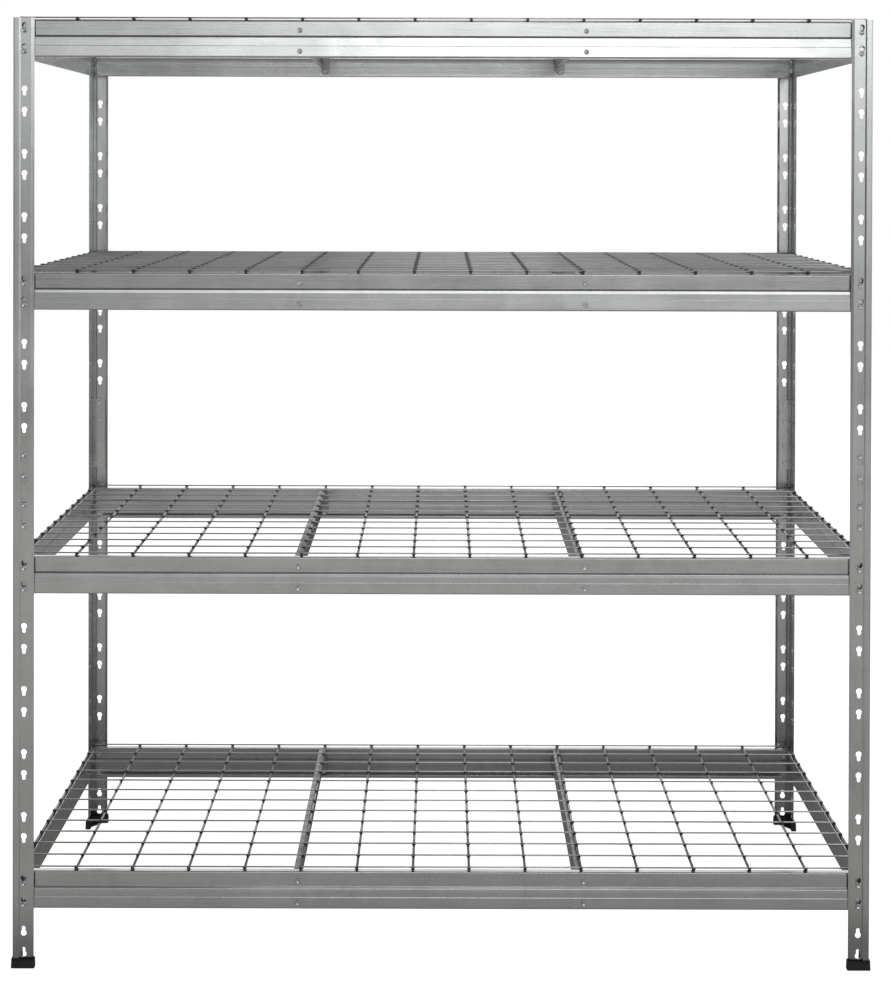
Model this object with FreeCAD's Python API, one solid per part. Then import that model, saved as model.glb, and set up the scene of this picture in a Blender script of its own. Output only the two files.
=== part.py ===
import FreeCAD, Part
import math
import os

# Boltless steel shelving: four wire-mesh tiers hung between four keyhole posts.
# Millimetres. +Z is up, +X runs along the wide side and -Y is the front.
# The origin is on the floor, in the middle of the footprint.

# ---- Overall size -------------------------------------------------------------
WIDTH = 1628.0                # over the outer faces of the posts, along X
DEPTH = 628.0                 # over the outer faces of the posts, along Y
POST_PIECE = 900.0            # length of one post piece; two make a post
FOOT_FLOOR = 5.0              # thickness of plastic under the post

# ---- Post section: an angle with a raised corner bead and turned-in edges -----
POST_SHEET = 1.2
POST_LEG = 40.0               # width of each leg of the angle
BEAD_END = 11.6               # where the corner bead starts to step in
FLAT_START = 13.8             # where the recessed flat begins
FLAT_INSET = 2.2              # depth of the flat below the corner bead
FLAT_END = 34.2               # where the free edge starts to turn in
EDGE_TURN_IN = 2.1            # how far the free edge turns in past the flat
POST_BEND = 1.4               # bend radii on the sheet's middle line
POST_CORNER_BEND = 2.2

# ---- Keyholes ------------------------------------------------------------------
KEYHOLE_LINE = 21.0           # from the outer corner to the line of keyholes
KEYHOLE_PITCH = 40.0          # between the two keyholes of a pair
PAIR_PITCH = 120.0            # from one pair to the next
PAIRS = 7
FIRST_KEYHOLE = 9.1           # from the piece's top end to the first keyhole
KEYHOLE_HEIGHT = 19.0
KEYHOLE_EYE = 11.5            # diameter of the wide end
KEYHOLE_SLOT = 7.0            # width of the narrow end
EYE_SHOULDER = 35.0           # degrees below level where the eye meets the funnel
FUNNEL_END = 10.8             # from the keyhole's top to the straight slot
SPLICE_KEYHOLES = (15.0, 55.0)   # lower ends of the two upside-down keyholes

# ---- Beams ---------------------------------------------------------------------
BEAM_SHEET = 1.0
BEAM_HEIGHT = 70.0
BEAM_UPPER_FACE = 9.4         # inset of the upper face from the post's outer face
BEAM_LOWER_FACE = 5.8         # inset of the lower face
BEAM_STEP_TOP = 28.0          # from the beam's top to the big step
BEAM_STEP_BOTTOM = 32.0
BEAM_CROWN_BOTTOM = 37.0      # end of the rounded-off strip below the big step
BEAM_CROWN_INSET = 0.45       # that strip leans in by this much at its upper edge
BEAM_RIB_TOP = 47.6           # from the beam's top to the fine step below it
BEAM_RIB_BOTTOM = 48.3
BEAM_RIB_INSET = 0.35         # the fine step stands out by this much
BEAM_UPPER_LEAN = 0.6         # the upper face leans in by this much at its lower edge
BEAM_LOWER_LEAN = 0.7         # the lower face leans in by this much at its upper edge
BEAM_BEND = 1.2
BEAM_TOP_BEND = 1.8
BEAM_BOTTOM_BEND = 2.6
BEAM_CREASE = 0.8             # bend radius of the fine step
LEDGE_WIDTH = 12.8            # the top flange, which carries the mesh
SIDE_LEDGE_WIDTH = 6.6        # the same flange on the side beams, which have no bottom flange
LEDGE_LIP = 6.5
BOTTOM_FLANGE = 13.0
BOTTOM_LIP = 6.0
BEAM_END_INSET = 14.0         # from the post's corner to the end of the web
FLANGE_END_INSET = 26.0       # from the post's corner to the end of the flanges

# ---- Tiers: post piece (0 lower, 1 upper) and keyhole pair that carry the beams -
TIERS = ((0, 6), (0, 1), (1, 4), (1, 0))

# ---- Studs ---------------------------------------------------------------------
STUD_SHANK = 3.3              # radii
STUD_HEAD = 5.0
STUD_COLLAR = 4.5
STUD_HEAD_THICKNESS = 1.7
STUD_HOLE = 3.4
STUD_TAIL = 4.2
TAIL_THICKNESS = 1.0
SHORTEST_COLLAR = 1.0         # a stud gets a collar only in a wider space between sheets
GAP = 0.1                     # between a stud's head, collar or tail and the sheet
OVERCUT = 1.0                 # how far a cutter reaches past the metal it cuts

# ---- Cross bars: channels from front beam to back beam --------------------------
BAR_STUD_X = 272.0            # the pairs of studs that hold a bar, from the middle
BAR_STUD_DROPS = (18.0, 58.0)    # below the beam's top
BAR_WEB_OFFSETS = (-9.5, -14.5)  # left and right bar's web, from its studs
BAR_SHEET = 1.2
BAR_TOP_FLANGE = 12.0
BAR_BOTTOM_FLANGE = 9.0
BAR_DEPTH = 48.0
BAR_LIP = 5.0
BAR_BEND = 1.3
BAR_TO_LEDGE = 1.5            # from the beam's ledge to the bar's flanges
BAR_DROP = 0.2                # top of the bar below the beam's top
BAR_NOTCH = 8.2               # depth of the web's notch under the ledge
PLATE_SIDE = 9.0              # the end plate past its studs, away from the web
PLATE_SHOULDER = 54.0         # from the beam's top to where the plate narrows
PLATE_BOTTOM = 66.0
PLATE_TIP = 6.5               # radius of the rounded tip

# ---- Splices inside the posts ---------------------------------------------------
SPLICE_SHEET = 1.5
SPLICE_LEG = 33.0
SPLICE_BEND = 2.5
SPLICE_UP = 80.0              # above and below the joint between the post pieces
SPLICE_DOWN = 80.0

# ---- Wire mesh decks ------------------------------------------------------------
CROSS_WIRES = 16              # run front to back, underneath
CROSS_WIRE_PITCH = 107.1
CROSS_WIRE_RADIUS = 2.5
LONG_WIRES = 13               # run along the width, on top
LONG_WIRE_PITCH = 49.6
LONG_WIRE_RADIUS = 1.5
WELD_SINK = 0.8               # how far the wires melt into each other
CROSS_WIRE_INSET = 10.4       # from the post's outer face to the wires' ends
LONG_WIRE_INSET = 8.4
DECK_GAP = 0.3                # between the mesh and the ledge it lies on

# ---- Feet -----------------------------------------------------------------------
FOOT_HEIGHT = 18.0
FOOT_PROUD = 1.9              # how far the foot stands out past the post
FOOT_LEG = 41.6               # from the post's corner to the foot's end
FOOT_THICKNESS = 8.6          # from the post's outer face to the foot's inner face
POCKET_GAP = 0.3
FOOT_ROUNDING = 1.4
FOOT_GUSSET = 30.0            # from the post's corner to where the floor's slanted edge meets a leg

# ---- Derived places --------------------------------------------------------------
POST_BOTTOM = FOOT_FLOOR
POST_JOINT = POST_BOTTOM + POST_PIECE
POST_TOP = POST_JOINT + POST_PIECE
PIECE_TOPS = (POST_JOINT, POST_TOP)
STUD_FROM_KEYHOLE = KEYHOLE_HEIGHT - KEYHOLE_SLOT / 2
STUD_DROP = 20.1              # from the beam's top to its upper stud
POST_INNER = FLAT_INSET + POST_SHEET
LIP_END = POST_INNER + EDGE_TURN_IN
ORIGIN = FreeCAD.Vector(0, 0, 0)
UP = FreeCAD.Vector(0, 0, 1)
CORNERS = (("front_left", -1, -1), ("front_right", 1, -1), ("back_right", 1, 1), ("back_left", -1, 1))


def vec(x, y, z=0.0):
    return FreeCAD.Vector(x, y, z)


def place_at_corner(shape, index, z=0.0):
    """Turn a piece drawn at the front left corner and put it at corner number index."""
    _, side_x, side_y = CORNERS[index]
    placed = shape.copy()
    placed.rotate(ORIGIN, UP, 90 * index)
    placed.translate(vec(side_x * WIDTH / 2, side_y * DEPTH / 2, z))
    return placed


def strip_face(points, radii, sheet):
    """Section of a folded sheet: a centre line through points, with rounded bends."""
    sides = {1: [], -1: []}
    run_start = points[0]
    for before, bend, after, radius in zip(points, points[1:], points[2:], radii):
        arrive = (bend - before).normalize()
        leave = (after - bend).normalize()
        turn = math.atan2(arrive.cross(leave).z, arrive.dot(leave))
        hand = math.copysign(1, turn)
        tangent = radius * math.tan(abs(turn) / 2)
        arc_start = bend - arrive * tangent
        arc_end = bend + leave * tangent
        start_normal = vec(-arrive.y, arrive.x)
        end_normal = vec(-leave.y, leave.x)
        centre = arc_start + start_normal * (hand * radius)
        to_middle = (bend - centre).normalize()
        for side, edges in sides.items():
            offset = side * sheet / 2
            arc_radius = radius - hand * offset
            first = arc_start + start_normal * offset
            last = arc_end + end_normal * offset
            edges.append(Part.LineSegment(run_start + start_normal * offset, first).toShape())
            edges.append(Part.Arc(first, centre + to_middle * arc_radius, last).toShape())
        run_start = arc_end
    leave = (points[-1] - run_start).normalize()
    end_normal = vec(-leave.y, leave.x)
    for side, edges in sides.items():
        offset = end_normal * (side * sheet / 2)
        edges.append(Part.LineSegment(run_start + offset, points[-1] + offset).toShape())
    ends = []
    for number in (0, -1):
        vertex = -1 if number else 0
        left = sides[1][number].Vertexes[vertex].Point
        right = sides[-1][number].Vertexes[vertex].Point
        ends.append(Part.LineSegment(left, right).toShape())
    edges = Part.__sortEdges__(sides[1] + sides[-1] + ends)
    return Part.Face(Part.Wire(edges))


def polygon_prism(outline, height):
    """Upright prism over a closed outline of (x, y) points."""
    corners = [vec(x, y) for x, y in outline]
    return Part.Face(Part.makePolygon(corners + corners[:1])).extrude(UP * height)


def angle_outline(start, leg, inner):
    """Outline of an L with its outer corner at (start, start)."""
    return ((start, start), (leg, start), (leg, inner), (inner, inner), (inner, leg), (start, leg))


def keyhole_cutter():
    """Keyhole in the XZ plane, its top at the origin, long enough to pass a leg."""
    eye = KEYHOLE_EYE / 2
    slot = KEYHOLE_SLOT / 2
    slot_centre = STUD_FROM_KEYHOLE
    shoulder = math.radians(EYE_SHOULDER)
    shoulder_x = eye * math.cos(shoulder)
    shoulder_z = -eye - eye * math.sin(shoulder)
    left = [vec(-shoulder_x, shoulder_z), vec(-slot, -FUNNEL_END), vec(-slot, -slot_centre)]
    right = [vec(-point.x, point.y) for point in left]
    edges = [
        Part.Arc(left[0], vec(0, 0), right[0]).toShape(),
        Part.LineSegment(right[0], right[1]).toShape(),
        Part.LineSegment(right[1], right[2]).toShape(),
        Part.Arc(right[2], vec(0, -KEYHOLE_HEIGHT), left[2]).toShape(),
        Part.LineSegment(left[2], left[1]).toShape(),
        Part.LineSegment(left[1], left[0]).toShape(),
    ]
    reach = 2 * LIP_END
    cutter = Part.Face(Part.Wire(edges)).extrude(UP * reach)
    cutter.translate(vec(0, 0, -reach / 2))
    cutter.rotate(ORIGIN, vec(1, 0, 0), 90)
    return cutter


def post_piece():
    """One post piece, standing on z = 0 at the front left corner."""
    middle = POST_SHEET / 2
    flat = FLAT_INSET + middle
    edge = POST_LEG - middle
    leg = [
        vec(edge, flat + EDGE_TURN_IN),
        vec(FLAT_END, flat),
        vec(FLAT_START, flat),
        vec(BEAD_END, middle),
    ]
    other_leg = [vec(point.y, point.x) for point in reversed(leg)]
    radii = [POST_BEND] * 3 + [POST_CORNER_BEND] + [POST_BEND] * 3
    section = strip_face(leg + [vec(middle, middle)] + other_leg, radii, POST_SHEET)
    solid = section.extrude(UP * POST_PIECE)

    upright = keyhole_cutter()
    upside_down = upright.copy()
    upside_down.rotate(ORIGIN, vec(0, 1, 0), 180)
    cutters = []
    for pair in range(PAIRS):
        for hole in range(2):
            drop = FIRST_KEYHOLE + pair * PAIR_PITCH + hole * KEYHOLE_PITCH
            cutter = upright.copy()
            cutter.translate(vec(KEYHOLE_LINE, 0, POST_PIECE - drop))
            cutters.append(cutter)
    for height in SPLICE_KEYHOLES:
        cutter = upside_down.copy()
        cutter.translate(vec(KEYHOLE_LINE, 0, height))
        cutters.append(cutter)
    front = Part.makeCompound(cutters)
    side = front.mirror(ORIGIN, vec(1, -1, 0))
    return solid.cut(front).cut(side)


def face_inset(drop):
    """Inset of the beam's leaning face from the post's outer face, at a drop below its top."""
    if drop < BEAM_STEP_BOTTOM:
        return BEAM_UPPER_FACE + BEAM_UPPER_LEAN * drop / BEAM_STEP_TOP
    height = (BEAM_HEIGHT - drop) / (BEAM_HEIGHT - BEAM_STEP_BOTTOM)
    rib = BEAM_RIB_INSET if drop < BEAM_RIB_BOTTOM else 0
    crown = max(0, (BEAM_CROWN_BOTTOM - drop) / (BEAM_CROWN_BOTTOM - BEAM_STEP_BOTTOM))
    return BEAM_LOWER_FACE + BEAM_LOWER_LEAN * height + rib + BEAM_CROWN_INSET * crown


def beam_section(ledge_width, bottom_flange):
    """Stepped channel section: x inwards from the post's outer face, y up from the beam's top."""
    middle = BEAM_SHEET / 2
    ledge_end = BEAM_UPPER_FACE + ledge_width - middle
    folds = (BEAM_STEP_TOP, BEAM_STEP_BOTTOM, BEAM_CROWN_BOTTOM, BEAM_RIB_TOP, BEAM_RIB_BOTTOM)
    points = [
        vec(ledge_end, -LEDGE_LIP),
        vec(ledge_end, -middle),
        vec(face_inset(0) + middle, -middle),
    ]
    points += [vec(face_inset(drop) + middle, -drop) for drop in folds]
    radii = [BEAM_BEND, BEAM_TOP_BEND, BEAM_BEND, BEAM_BEND] + [BEAM_CREASE] * 3
    if bottom_flange:
        flange_end = BEAM_LOWER_FACE + bottom_flange - middle
        bottom = -BEAM_HEIGHT + middle
        points += [
            vec(face_inset(BEAM_HEIGHT) + middle, bottom),
            vec(flange_end, bottom),
            vec(flange_end, bottom + BOTTOM_LIP),
        ]
        radii += [BEAM_BOTTOM_BEND, BEAM_BEND]
    else:
        points.append(vec(face_inset(BEAM_HEIGHT) + middle, -BEAM_HEIGHT))
    return strip_face(points, radii, BEAM_SHEET)


def beam(span, section, extra_studs):
    """Beam in front of a span measured over the posts, its top at z = 0, facing -Y."""
    web_half = span / 2 - BEAM_END_INSET
    flange_half = span / 2 - FLANGE_END_INSET
    solid = section.extrude(UP * (2 * web_half))
    solid.translate(vec(0, 0, -web_half))
    solid.rotate(ORIGIN, vec(1, 1, 1), 120)

    flange_start = face_inset(BEAM_STEP_TOP) + BEAM_SHEET + GAP
    notch = web_half - flange_half
    cutters = []
    for end in (-web_half - OVERCUT, flange_half):
        box = Part.makeBox(notch + OVERCUT, LEDGE_WIDTH + OVERCUT, BEAM_HEIGHT + 2 * OVERCUT)
        box.translate(vec(end, flange_start, -BEAM_HEIGHT - OVERCUT))
        cutters.append(box)
    end_stud = span / 2 - KEYHOLE_LINE
    holes = [(side * end_stud, drop) for side in (-1, 1) for drop in end_stud_drops()]
    for x, drop in holes + extra_studs:
        hole = Part.makeCylinder(STUD_HOLE, 2 * LEDGE_WIDTH, vec(x, 0, -drop), vec(0, 1, 0))
        cutters.append(hole)
    return solid.cut(Part.makeCompound(cutters))


def end_stud_drops():
    return (STUD_DROP, STUD_DROP + KEYHOLE_PITCH)


def bar_stud_places():
    return [(side * BAR_STUD_X, drop) for side in (-1, 1) for drop in BAR_STUD_DROPS]


def turned_stud(stations):
    """Stud along +Y, from (start, end, radius) stations; the first is its domed head."""
    start, end, radius = stations[0]
    head = Part.makeCylinder(radius, end - start, vec(0, start, 0), vec(0, 1, 0))
    front_edge = [edge for edge in head.Edges if edge.BoundBox.YMax < start + GAP]
    stud = head.makeFillet((end - start) / 2, front_edge)
    for start, end, radius in stations[1:]:
        stud = stud.fuse(Part.makeCylinder(radius, end - start, vec(0, start, 0), vec(0, 1, 0)))
    return stud.removeSplitter()


def keyhole_stud(sheet_face, sheet):
    """Stud hooked in a post's keyhole and riveted through a sheet at inset sheet_face."""
    head_back = FLAT_INSET - GAP
    stations = [(head_back - STUD_HEAD_THICKNESS, head_back, STUD_HEAD)]
    collar_start = POST_INNER + 2 * GAP
    if sheet_face - collar_start > SHORTEST_COLLAR:
        stations.append((collar_start, sheet_face - GAP, STUD_COLLAR))
    tail_start = sheet_face + sheet + GAP
    stations.append((head_back, tail_start, STUD_SHANK))
    stations.append((tail_start, tail_start + TAIL_THICKNESS, STUD_TAIL))
    return turned_stud(stations)


def bar_stud(beam_face, plate_face):
    """Stud that rivets a cross bar's end plate to a beam's face."""
    head_back = beam_face - GAP
    tail_start = plate_face + BAR_SHEET + GAP
    stations = [
        (head_back - STUD_HEAD_THICKNESS, head_back, STUD_HEAD),
        (head_back, tail_start, STUD_SHANK),
        (tail_start, tail_start + TAIL_THICKNESS, STUD_TAIL),
    ]
    collar_start = beam_face + BEAM_SHEET + GAP
    if plate_face - collar_start > SHORTEST_COLLAR:
        stations.append((collar_start, plate_face - GAP, STUD_COLLAR))
    return turned_stud(stations)


def corner_studs(rows):
    """Studs on both legs of the front left corner, from (stud, z) rows."""
    studs = []
    for stud, z in rows:
        front = stud.copy()
        front.translate(vec(KEYHOLE_LINE, 0, z))
        studs.append(front)
        studs.append(front.mirror(ORIGIN, vec(1, -1, 0)))
    return studs


def plate_face():
    """Inset of the cross bars' end plates, which lie on the back of the upper face."""
    return face_inset(BEAM_STEP_TOP) + BEAM_SHEET + 2 * GAP


def end_plate(web_offset):
    """A bar's front end plate, with its studs at x = 0 and the beam's top at z = 0."""
    top = -BAR_NOTCH
    outline = (
        (web_offset, top),
        (PLATE_SIDE, top),
        (PLATE_SIDE, -PLATE_SHOULDER),
        (PLATE_TIP, -PLATE_SHOULDER - PLATE_TIP / 2),
        (PLATE_TIP, -PLATE_BOTTOM + PLATE_TIP),
        (-PLATE_TIP, -PLATE_BOTTOM + PLATE_TIP),
        (-PLATE_TIP, -PLATE_SHOULDER - PLATE_TIP / 2),
        (web_offset, -PLATE_SHOULDER),
    )
    plate = polygon_prism(outline, BAR_SHEET)
    plate.rotate(ORIGIN, vec(1, 0, 0), 90)
    plate.translate(vec(0, plate_face() + BAR_SHEET, 0))
    tip_centre = vec(0, plate_face(), -PLATE_BOTTOM + PLATE_TIP)
    plate = plate.fuse(Part.makeCylinder(PLATE_TIP, BAR_SHEET, tip_centre, vec(0, 1, 0)))
    for drop in BAR_STUD_DROPS:
        hole_start = vec(0, plate_face() - OVERCUT, -drop)
        hole_length = BAR_SHEET + 2 * OVERCUT
        plate = plate.cut(Part.makeCylinder(STUD_HOLE, hole_length, hole_start, vec(0, 1, 0)))
    return plate


def cross_bar(web_offset):
    """Channel between the front and back beams, open towards +X."""
    middle = BAR_SHEET / 2
    top = -BAR_DROP - middle
    bottom = -BAR_DEPTH + middle
    points = [
        vec(web_offset + BAR_TOP_FLANGE - middle, -BAR_LIP),
        vec(web_offset + BAR_TOP_FLANGE - middle, top),
        vec(web_offset + middle, top),
        vec(web_offset + middle, bottom),
        vec(web_offset + BAR_BOTTOM_FLANGE, bottom),
    ]
    flange_inset = BEAM_UPPER_FACE + LEDGE_WIDTH + BAR_TO_LEDGE
    channel_length = DEPTH - 2 * flange_inset
    channel = strip_face(points, [BAR_BEND] * 3, BAR_SHEET).extrude(UP * channel_length)
    channel.rotate(ORIGIN, vec(1, 0, 0), 90)
    channel.translate(vec(0, channel_length / 2, 0))

    front = plate_face() - DEPTH / 2
    web_height = BAR_DEPTH - BAR_NOTCH - BAR_SHEET
    web = Part.makeBox(BAR_SHEET, -2 * front, web_height)
    web.translate(vec(web_offset, front, -BAR_DEPTH + BAR_SHEET))
    front_plate = end_plate(web_offset)
    front_plate.translate(vec(0, -DEPTH / 2, 0))
    back_plate = front_plate.mirror(ORIGIN, vec(0, 1, 0))
    return channel.multiFuse([web, front_plate, back_plate]).removeSplitter()


def splice():
    """Angle inside the front left post that joins its pieces, its joint at z = 0."""
    middle = POST_INNER + 2 * GAP + SPLICE_SHEET / 2
    points = [vec(SPLICE_LEG, middle), vec(middle, middle), vec(middle, SPLICE_LEG)]
    solid = strip_face(points, [SPLICE_BEND], SPLICE_SHEET).extrude(UP * (SPLICE_UP + SPLICE_DOWN))
    solid.translate(vec(0, 0, -SPLICE_DOWN))
    holes = []
    for z in splice_stud_heights():
        start = vec(KEYHOLE_LINE, 0, z)
        holes.append(Part.makeCylinder(STUD_HOLE, POST_LEG / 4, start, vec(0, 1, 0)))
    front = Part.makeCompound(holes)
    return solid.cut(front).cut(front.mirror(ORIGIN, vec(1, -1, 0)))


def splice_stud_heights():
    """Heights of the splice's studs above the joint between the post pieces."""
    above = [height + STUD_FROM_KEYHOLE for height in SPLICE_KEYHOLES]
    below = [-FIRST_KEYHOLE - STUD_FROM_KEYHOLE - hole * KEYHOLE_PITCH for hole in range(2)]
    return above + below


def wire_deck():
    """Welded mesh with its lowest point at z = 0."""
    cross_half = DEPTH / 2 - CROSS_WIRE_INSET
    long_half = WIDTH / 2 - LONG_WIRE_INSET
    long_z = 2 * CROSS_WIRE_RADIUS + LONG_WIRE_RADIUS - WELD_SINK
    wires = []
    for number in range(CROSS_WIRES):
        x = (number - (CROSS_WIRES - 1) / 2) * CROSS_WIRE_PITCH
        start = vec(x, -cross_half, CROSS_WIRE_RADIUS)
        wires.append(Part.makeCylinder(CROSS_WIRE_RADIUS, 2 * cross_half, start, vec(0, 1, 0)))
    for number in range(LONG_WIRES):
        y = (number - (LONG_WIRES - 1) / 2) * LONG_WIRE_PITCH
        start = vec(-long_half, y, long_z)
        wires.append(Part.makeCylinder(LONG_WIRE_RADIUS, 2 * long_half, start, vec(1, 0, 0)))
    return wires[0].multiFuse(wires[1:])


def foot():
    """Plastic shoe under the front left post."""
    body = polygon_prism(angle_outline(-FOOT_PROUD, FOOT_LEG, FOOT_THICKNESS), FOOT_HEIGHT)
    upright = [edge for edge in body.Edges if edge.BoundBox.ZLength > FOOT_HEIGHT / 2]
    body = body.makeFillet(FOOT_ROUNDING, upright)
    inner = FOOT_THICKNESS
    gusset = ((inner, inner), (FOOT_GUSSET, inner), (inner, FOOT_GUSSET))
    body = body.fuse(polygon_prism(gusset, FOOT_FLOOR)).removeSplitter()
    floor = [edge for edge in body.Edges if edge.BoundBox.ZMax < GAP]
    body = body.makeChamfer(FOOT_ROUNDING / 2, floor)
    pocket = angle_outline(-POCKET_GAP, POST_LEG + POCKET_GAP, LIP_END + POCKET_GAP)
    cutter = polygon_prism(pocket, FOOT_HEIGHT)
    cutter.translate(vec(0, 0, FOOT_FLOOR))
    return body.cut(cutter)


def save(node, shapes):
    shape = shapes[0] if len(shapes) == 1 else Part.makeCompound(shapes)
    if not shape.isValid():
        raise ValueError(node + " is not a valid shape")
    shape.exportStep("parts/" + node + ".step")
    print(node, len(shape.Solids), "solids", round(shape.Volume / 1000, 2), "cm3")


def make_posts():
    piece = post_piece()
    angle = splice()
    shoe = foot()
    joiner = keyhole_stud(POST_INNER + 2 * GAP, SPLICE_SHEET)
    joiners = Part.makeCompound(corner_studs([(joiner, z) for z in splice_stud_heights()]))
    for index, (corner, _, _) in enumerate(CORNERS):
        save("post_lower_" + corner, [place_at_corner(piece, index, POST_BOTTOM)])
        save("post_upper_" + corner, [place_at_corner(piece, index, POST_JOINT)])
        save("splice_" + corner, [place_at_corner(angle, index, POST_JOINT)])
        save("splice_studs_" + corner, place_at_corner(joiners, index, POST_JOINT).Solids)
        save("foot_" + corner, [place_at_corner(shoe, index)])


def make_tiers():
    long_beam = beam(WIDTH, beam_section(LEDGE_WIDTH, BOTTOM_FLANGE), bar_stud_places())
    short_beam = beam(DEPTH, beam_section(SIDE_LEDGE_WIDTH, 0), [])
    bars = [cross_bar(offset) for offset in BAR_WEB_OFFSETS]
    deck = wire_deck()
    hook_rows = [(keyhole_stud(face_inset(drop), BEAM_SHEET), -drop) for drop in end_stud_drops()]
    hooks = corner_studs(hook_rows)
    bar_studs = [bar_stud(face_inset(drop), plate_face()) for drop in BAR_STUD_DROPS]
    for number, (piece, pair) in enumerate(TIERS, start=1):
        first_stud = PIECE_TOPS[piece] - pair * PAIR_PITCH - FIRST_KEYHOLE - STUD_FROM_KEYHOLE
        top = first_stud + STUD_DROP
        tier = "_tier_" + str(number)
        sides = (("front", long_beam, DEPTH, 0), ("right", short_beam, WIDTH, 90),
                 ("back", long_beam, DEPTH, 180), ("left", short_beam, WIDTH, 270))
        for side, shape, across, angle in sides:
            placed = shape.copy()
            placed.translate(vec(0, -across / 2, top))
            placed.rotate(ORIGIN, UP, angle)
            save("beam_" + side + tier, [placed])
        for side, sign, bar in zip(("left", "right"), (-1, 1), bars):
            placed = bar.copy()
            placed.translate(vec(sign * BAR_STUD_X, 0, top))
            save("cross_bar_" + side + tier, [placed])
        corner_group = Part.makeCompound(hooks)
        placed_hooks = [place_at_corner(corner_group, index, top) for index in range(len(CORNERS))]
        save("beam_studs" + tier, [stud for group in placed_hooks for stud in group.Solids])
        placed_studs = []
        for x, drop in bar_stud_places():
            stud = bar_studs[BAR_STUD_DROPS.index(drop)].copy()
            stud.translate(vec(x, -DEPTH / 2, top - drop))
            placed_studs += [stud, stud.mirror(ORIGIN, vec(0, 1, 0))]
        save("cross_bar_studs" + tier, placed_studs)
        placed_deck = deck.copy()
        placed_deck.translate(vec(0, 0, top + DECK_GAP))
        save("wire_deck" + tier, [placed_deck])


os.makedirs("parts", exist_ok=True)
make_posts()
make_tiers()
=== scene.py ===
import math
import random

import bmesh
import bpy
from mathutils import Matrix, Vector


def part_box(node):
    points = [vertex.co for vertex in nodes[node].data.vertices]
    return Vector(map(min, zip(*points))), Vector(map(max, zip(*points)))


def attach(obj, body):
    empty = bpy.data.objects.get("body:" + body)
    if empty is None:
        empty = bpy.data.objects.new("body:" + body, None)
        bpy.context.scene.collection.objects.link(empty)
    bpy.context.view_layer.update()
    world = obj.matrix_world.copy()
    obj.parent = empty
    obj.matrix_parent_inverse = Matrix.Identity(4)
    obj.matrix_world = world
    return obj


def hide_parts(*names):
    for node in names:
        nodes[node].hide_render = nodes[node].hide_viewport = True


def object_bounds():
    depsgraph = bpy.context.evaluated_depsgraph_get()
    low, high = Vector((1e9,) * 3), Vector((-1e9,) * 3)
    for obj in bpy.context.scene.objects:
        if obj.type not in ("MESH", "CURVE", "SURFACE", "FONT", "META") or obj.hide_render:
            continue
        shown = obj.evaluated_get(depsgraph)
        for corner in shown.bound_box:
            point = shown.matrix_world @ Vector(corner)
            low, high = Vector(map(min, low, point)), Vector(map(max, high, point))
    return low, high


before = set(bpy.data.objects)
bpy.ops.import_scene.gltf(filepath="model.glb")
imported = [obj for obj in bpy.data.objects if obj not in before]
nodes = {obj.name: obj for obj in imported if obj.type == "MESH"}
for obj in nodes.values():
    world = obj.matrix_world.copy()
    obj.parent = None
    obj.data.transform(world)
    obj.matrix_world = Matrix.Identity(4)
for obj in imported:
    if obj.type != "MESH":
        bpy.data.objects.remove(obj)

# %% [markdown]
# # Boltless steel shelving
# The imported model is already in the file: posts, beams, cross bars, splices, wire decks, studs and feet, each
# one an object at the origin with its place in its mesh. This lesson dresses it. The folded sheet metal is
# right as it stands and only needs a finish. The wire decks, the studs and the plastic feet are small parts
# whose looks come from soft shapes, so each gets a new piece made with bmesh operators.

MM = 0.001
scene = bpy.context.scene
cad_low, cad_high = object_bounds()
tiers = (1, 2, 3, 4)
CORNERS = ("front_left", "front_right", "back_right", "back_left")
print("frame is", [round(side, 4) for side in cad_high - cad_low], "m")

# %% [markdown]
# ## Camera
# The shelving is seen square on from a little above its third tier, and its posts stay almost parallel. A
# camera that looks nearly level and is shifted down does that, as an architect's lens does. A camera that is
# tipped down instead would make the posts lean in. A third of a degree of tip and a sixth of a degree of roll
# are left in, as when a camera is levelled by eye.

# %% Camera
CAMERA_PLACE = (-0.0019, -3.114, 1.5253)
CAMERA_TIP = 0.371            # degrees below level
CAMERA_ROLL = 0.160           # degrees, so the right side sits lower in the frame
camera_data = bpy.data.cameras.new("studio_camera")
camera_data.lens = 53.782
camera_data.sensor_width = 36
camera_data.shift_x = 0.00366
camera_data.shift_y = -0.32244
camera = bpy.data.objects.new("studio_camera", camera_data)
camera.location = CAMERA_PLACE
level = Matrix.Rotation(math.radians(90 - CAMERA_TIP), 3, "X")
camera.rotation_euler = (level @ Matrix.Rotation(math.radians(CAMERA_ROLL), 3, "Z")).to_euler()
scene.collection.objects.link(camera)
scene.camera = camera
print("camera stands", -camera.location.y, "m in front of the middle")


# %% [markdown]
# ## Floor, backdrop and lights
# Zinc shows what surrounds it more than its own colour, so most of its tone is made here. The room is white
# where it is looked at directly. For reflections it is a studio: a bright window in front and just above eye
# level, darker to its left and below it, a dark ceiling, a pale wall behind and a grey floor. That makes the
# top beams bright and the lower ones grey, and the left side darker than the right. A Light Path node tells
# whether a ray comes straight from the camera or off the metal. One soft box in front adds a gentle light.

# %% Node helpers
def node(tree, kind, x=0, y=0, **values):
    """Add a node and set its inputs by name, or its own settings."""
    made = tree.nodes.new(kind)
    made.location = (x, y)
    for name, value in values.items():
        name = name.replace("_", " ") if name.replace("_", " ") in made.inputs else name
        if name in made.inputs:
            made.inputs[name].default_value = value
        else:
            setattr(made, name, value)
    return made


def link(tree, start, end):
    tree.links.new(start, end)


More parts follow.
